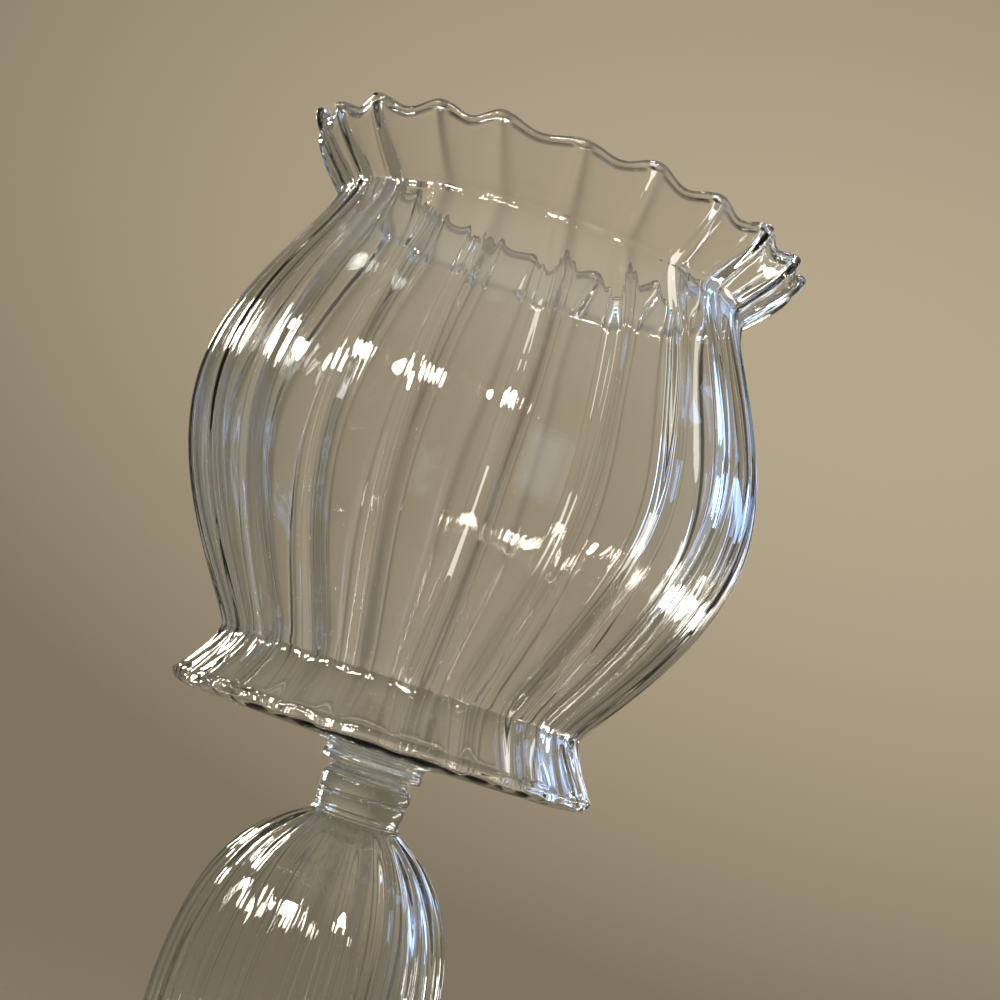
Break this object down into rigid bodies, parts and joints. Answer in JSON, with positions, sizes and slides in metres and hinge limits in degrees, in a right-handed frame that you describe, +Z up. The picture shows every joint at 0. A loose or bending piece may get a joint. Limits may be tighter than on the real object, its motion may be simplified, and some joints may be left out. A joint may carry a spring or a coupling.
{
  "type": "goblet vase",
  "caption": "Goblet vase of clear ribbed blown glass: ruffled globe bowl on a spool collar, a hollow ribbed bulb stem and a spreading foot, for cut flowers.",
  "frame": {"origin": "on the vase's axis, in the plane that the foot stands on", "axes": "+Z up along the vase's axis, +X through a rib of the bowl"},
  "size_m": [0.12, 0.1188, 0.2437],
  "materials": {
    "clear_glass": "clear, fire-polished, faintly wavy hand-blown glass"
  },
  "bodies": {
    "root": {"bowl": "clear_glass", "bowl_wafer": "clear_glass", "upper_collar": "clear_glass", "stem_bulb": "clear_glass", "lower_collar": "clear_glass", "foot": "clear_glass"}
  },
  "joints": []
}
